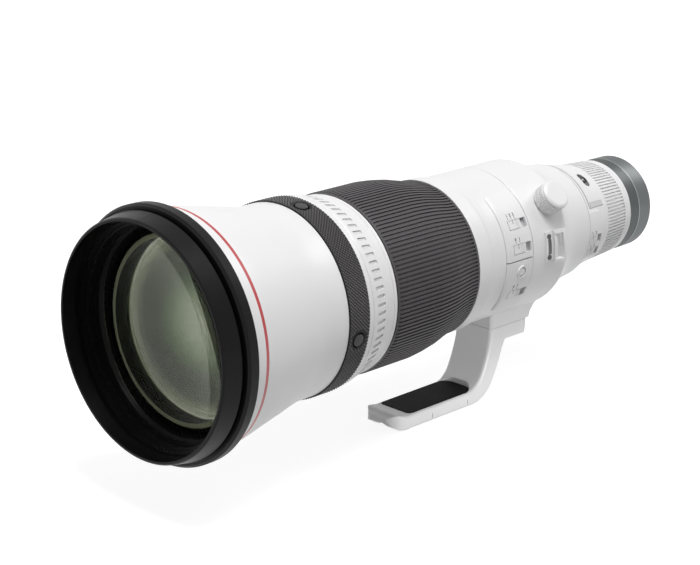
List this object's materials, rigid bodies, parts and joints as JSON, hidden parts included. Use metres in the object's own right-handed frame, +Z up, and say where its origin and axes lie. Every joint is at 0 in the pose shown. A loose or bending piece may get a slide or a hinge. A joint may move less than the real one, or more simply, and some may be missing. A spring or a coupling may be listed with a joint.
{
  "type": "super telephoto lens",
  "caption": "Large white telephoto camera lens with front hood flange, ribbed focus ring, function ring, switch decks, drop-in filter drawer, rotating tripod collar with foot and bayonet mount.",
  "frame": {"origin": "centre of the camera mount face, where the bayonet spigot leaves it", "axes": "+Y along the optical axis from the front lens to the camera, +Z up, +X towards the side with the switches"},
  "size_m": [0.166, 0.4782, 0.199],
  "materials": {
    "black_paint": "matt anti-reflection paint",
    "black_plastic": "black",
    "black_rubber": "soft rubber",
    "black_satin": "satin black",
    "blade": "thin blackened steel",
    "board": "circuit board",
    "chrome": "polished mount plate",
    "filter_glass": "clear filter",
    "grey_metal": "satin anodised",
    "grey_plastic": "grey satin",
    "knurled_rubber": "fine diagonal knurl",
    "lens_glass": "coated optical glass",
    "liner": "slippery liner",
    "motor": "stator metal",
    "steel": "machined steel",
    "white_paint": "fine satin paint",
    "white_plastic": "satin"
  },
  "bodies": {
    "collar": {"collar_ring": "white_paint", "collar_slide_ring": "liner", "foot": "white_paint", "foot_pad": "black_rubber", "foot_screws": "steel", "strap_lugs": "white_paint", "strap_lug_screws": "steel"},
    "lock_knob": {"lock_knob": "white_plastic"},
    "clamp_shoe": {"clamp_shoe": "grey_metal"},
    "barrel": {"front_rubber_ring": "black_satin", "hood_mount_ring": "black_satin", "front_barrel": "white_paint", "front_element": "lens_glass", "second_element": "lens_glass", "inner_tube": "black_paint", "button_ring": "knurled_rubber", "focus_motor": "motor", "switch_panel": "white_plastic", "main_barrel": "white_paint", "iris_base": "black_satin", "rear_lens_cell": "black_paint", "rear_lens": "lens_glass", "circuit_board": "board", "rear_barrel": "white_paint", "mount_extension_ring": "grey_metal", "bayonet_mount": "chrome", "mount_screws": "steel", "contact_block": "black_plastic"},
    "function_ring": {"function_ring": "white_plastic"},
    "focus_ring": {"focus_ring": "black_satin", "focus_ring_rubber": "black_rubber"},
    "stabilizer_mode_switch": {"stabilizer_mode_switch": "white_plastic"},
    "stabilizer_switch": {"stabilizer_switch": "white_plastic"},
    "focus_preset_switch": {"focus_preset_switch": "white_plastic"},
    "preset_set_button": {"preset_set_button": "white_plastic"},
    "focus_mode_switch": {"focus_mode_switch": "white_plastic"},
    "focus_limiter_switch": {"focus_limiter_switch": "white_plastic"},
    "filter_drawer": {"filter_holder": "white_plastic", "drop_in_filter": "filter_glass", "lock_slot_plate": "steel"},
    "filter_release_button": {"filter_release_button": "grey_plastic"},
    "cam_ring": {"cam_ring": "grey_metal"},
    "focus_cell": {"focus_cell": "black_satin", "focus_lens": "lens_glass"},
    "stabilizer_guide_frame": {"stabilizer_guide_frame": "grey_metal"},
    "stabilizer_lens_frame": {"stabilizer_lens_frame": "black_satin"},
    "iris_drive_ring": {"iris_drive_ring": "black_satin"},
    "af_stop_button_1": {"af_stop_button_1": "black_rubber"},
    "af_stop_button_2": {"af_stop_button_2": "black_rubber"},
    "af_stop_button_3": {"af_stop_button_3": "black_rubber"},
    "af_stop_button_4": {"af_stop_button_4": "black_rubber"},
    "iris_blade_1": {"iris_blade_1": "blade"},
    "iris_blade_2": {"iris_blade_2": "blade"},
    "iris_blade_3": {"iris_blade_3": "blade"},
    "iris_blade_4": {"iris_blade_4": "blade"},
    "iris_blade_5": {"iris_blade_5": "blade"},
    "iris_blade_6": {"iris_blade_6": "blade"},
    "iris_blade_7": {"iris_blade_7": "blade"},
    "iris_blade_8": {"iris_blade_8": "blade"},
    "iris_blade_9": {"iris_blade_9": "blade"}
  },
  "joints": [
    {"name": "collar_rotation", "type": "hinge", "parent": "collar", "child": "barrel", "pos_m": [0, -0.137, 0], "axis": [0, 1, 0], "continuous": true},
    {"name": "lock_knob_turn", "type": "hinge", "parent": "collar", "child": "lock_knob", "pos_m": [0.04696, -0.1375, 0.03735], "axis": [0.7826, 0, 0.6225], "range_deg": [0, 180]},
    {"name": "clamp_shoe_slide", "type": "slide", "parent": "collar", "child": "clamp_shoe", "axis": [0.7826, 0, 0.6225], "range_m": [0, 0.0005]},
    {"name": "function_ring_turn", "type": "hinge", "parent": "barrel", "child": "function_ring", "pos_m": [0, -0.3208, 0], "axis": [0, 1, 0], "range_deg": [-10, 10], "stiffness_Nm_per_rad": 0.3},
    {"name": "focus_ring_turn", "type": "hinge", "parent": "barrel", "child": "focus_ring", "pos_m": [0, -0.264, 0], "axis": [0, 1, 0], "continuous": true},
    {"name": "af_stop_button_1_press", "type": "slide", "parent": "barrel", "child": "af_stop_button_1", "axis": [-0.1908, 0, -0.9816], "range_m": [0, 0.0008], "stiffness_N_per_m": 800},
    {"name": "af_stop_button_2_press", "type": "slide", "parent": "barrel", "child": "af_stop_button_2", "axis": [-0.9816, 0, 0.1908], "range_m": [0, 0.0008], "stiffness_N_per_m": 800},
    {"name": "af_stop_button_3_press", "type": "slide", "parent": "barrel", "child": "af_stop_button_3", "axis": [0.1908, 0, 0.9816], "range_m": [0, 0.0008], "stiffness_N_per_m": 800},
    {"name": "af_stop_button_4_press", "type": "slide", "parent": "barrel", "child": "af_stop_button_4", "axis": [0.9816, 0, -0.1908], "range_m": [0, 0.0008], "stiffness_N_per_m": 800},
    {"name": "stabilizer_mode_switch_slide", "type": "slide", "parent": "barrel", "child": "stabilizer_mode_switch", "axis": [0, 1, 0], "range_m": [0, 0.0056]},
    {"name": "stabilizer_switch_slide", "type": "slide", "parent": "barrel", "child": "stabilizer_switch", "axis": [0, 1, 0], "range_m": [0, 0.0056]},
    {"name": "focus_preset_switch_slide", "type": "slide", "parent": "barrel", "child": "focus_preset_switch", "axis": [0, 1, 0], "range_m": [0, 0.0056]},
    {"name": "preset_set_button_press", "type": "slide", "parent": "barrel", "child": "preset_set_button", "axis": [-0.9923, 0, 0.1236], "range_m": [0, 0.0005], "stiffness_N_per_m": 800},
    {"name": "focus_mode_switch_slide", "type": "slide", "parent": "barrel", "child": "focus_mode_switch", "axis": [0, 1, 0], "range_m": [0, 0.0042]},
    {"name": "focus_limiter_switch_slide", "type": "slide", "parent": "barrel", "child": "focus_limiter_switch", "axis": [0, 1, 0], "range_m": [0, 0.0042]},
    {"name": "filter_drawer_slide", "type": "slide", "parent": "barrel", "child": "filter_drawer", "axis": [0.4067, 0, 0.9135], "range_m": [0, 0.066]},
    {"name": "filter_release_press", "type": "slide", "parent": "filter_drawer", "child": "filter_release_button", "axis": [-0.893, 0, -0.4501], "range_m": [0, 0.0009], "stiffness_N_per_m": 800},
    {"name": "cam_ring_turn", "type": "hinge", "parent": "barrel", "child": "cam_ring", "pos_m": [0, -0.281, 0], "axis": [0, 1, 0], "range_deg": [0, 80]},
    {"name": "focus_cell_slide", "type": "slide", "parent": "barrel", "child": "focus_cell", "axis": [0, 1, 0], "range_m": [0, 0.024]},
    {"name": "stabilizer_shift_x", "type": "slide", "parent": "barrel", "child": "stabilizer_guide_frame", "axis": [1, 0, 0], "range_m": [-0.001, 0.001], "stiffness_N_per_m": 3000},
    {"name": "stabilizer_shift_z", "type": "slide", "parent": "stabilizer_guide_frame", "child": "stabilizer_lens_frame", "axis": [0, 0, 1], "range_m": [-0.001, 0.001], "stiffness_N_per_m": 3000},
    {"name": "iris_drive", "type": "hinge", "parent": "barrel", "child": "iris_drive_ring", "pos_m": [0, -0.143, 0], "axis": [0, 1, 0], "range_deg": [0, 4.19]},
    {"name": "iris_blade_1_swing", "type": "hinge", "parent": "barrel", "child": "iris_blade_1", "pos_m": [0, -0.139, 0.034], "axis": [0, 1, 0], "range_deg": [0, 25.01]},
    {"name": "iris_blade_2_swing", "type": "hinge", "parent": "barrel", "child": "iris_blade_2", "pos_m": [0.02185, -0.139, 0.02605], "axis": [0, 1, 0], "range_deg": [0, 25.01]},
    {"name": "iris_blade_3_swing", "type": "hinge", "parent": "barrel", "child": "iris_blade_3", "pos_m": [0.03348, -0.139, 0.0059], "axis": [0, 1, 0], "range_deg": [0, 25.01]},
    {"name": "iris_blade_4_swing", "type": "hinge", "parent": "barrel", "child": "iris_blade_4", "pos_m": [0.02944, -0.139, -0.017], "axis": [0, 1, 0], "range_deg": [0, 25.01]},
    {"name": "iris_blade_5_swing", "type": "hinge", "parent": "barrel", "child": "iris_blade_5", "pos_m": [0.01163, -0.139, -0.03195], "axis": [0, 1, 0], "range_deg": [0, 25.01]},
    {"name": "iris_blade_6_swing", "type": "hinge", "parent": "barrel", "child": "iris_blade_6", "pos_m": [-0.01163, -0.139, -0.03195], "axis": [0, 1, 0], "range_deg": [0, 25.01]},
    {"name": "iris_blade_7_swing", "type": "hinge", "parent": "barrel", "child": "iris_blade_7", "pos_m": [-0.02944, -0.139, -0.017], "axis": [0, 1, 0], "range_deg": [0, 25.01]},
    {"name": "iris_blade_8_swing", "type": "hinge", "parent": "barrel", "child": "iris_blade_8", "pos_m": [-0.03348, -0.139, 0.0059], "axis": [0, 1, 0], "range_deg": [0, 25.01]},
    {"name": "iris_blade_9_swing", "type": "hinge", "parent": "barrel", "child": "iris_blade_9", "pos_m": [-0.02185, -0.139, 0.02605], "axis": [0, 1, 0], "range_deg": [0, 25.01]}
  ],
  "couplings": [
    {"joint": "lock_knob_turn", "follows": "clamp_shoe_slide", "rad_per_m": 6283},
    {"joint": "focus_cell_slide", "follows": "cam_ring_turn", "m_per_rad": 0.017189},
    {"joint": "iris_blade_1_swing", "follows": "iris_drive", "ratio": 5.9611},
    {"joint": "iris_blade_2_swing", "follows": "iris_drive", "ratio": 5.9611},
    {"joint": "iris_blade_3_swing", "follows": "iris_drive", "ratio": 5.9611},
    {"joint": "iris_blade_4_swing", "follows": "iris_drive", "ratio": 5.9611},
    {"joint": "iris_blade_5_swing", "follows": "iris_drive", "ratio": 5.9611},
    {"joint": "iris_blade_6_swing", "follows": "iris_drive", "ratio": 5.9611},
    {"joint": "iris_blade_7_swing", "follows": "iris_drive", "ratio": 5.9611},
    {"joint": "iris_blade_8_swing", "follows": "iris_drive", "ratio": 5.9611},
    {"joint": "iris_blade_9_swing", "follows": "iris_drive", "ratio": 5.9611}
  ]
}
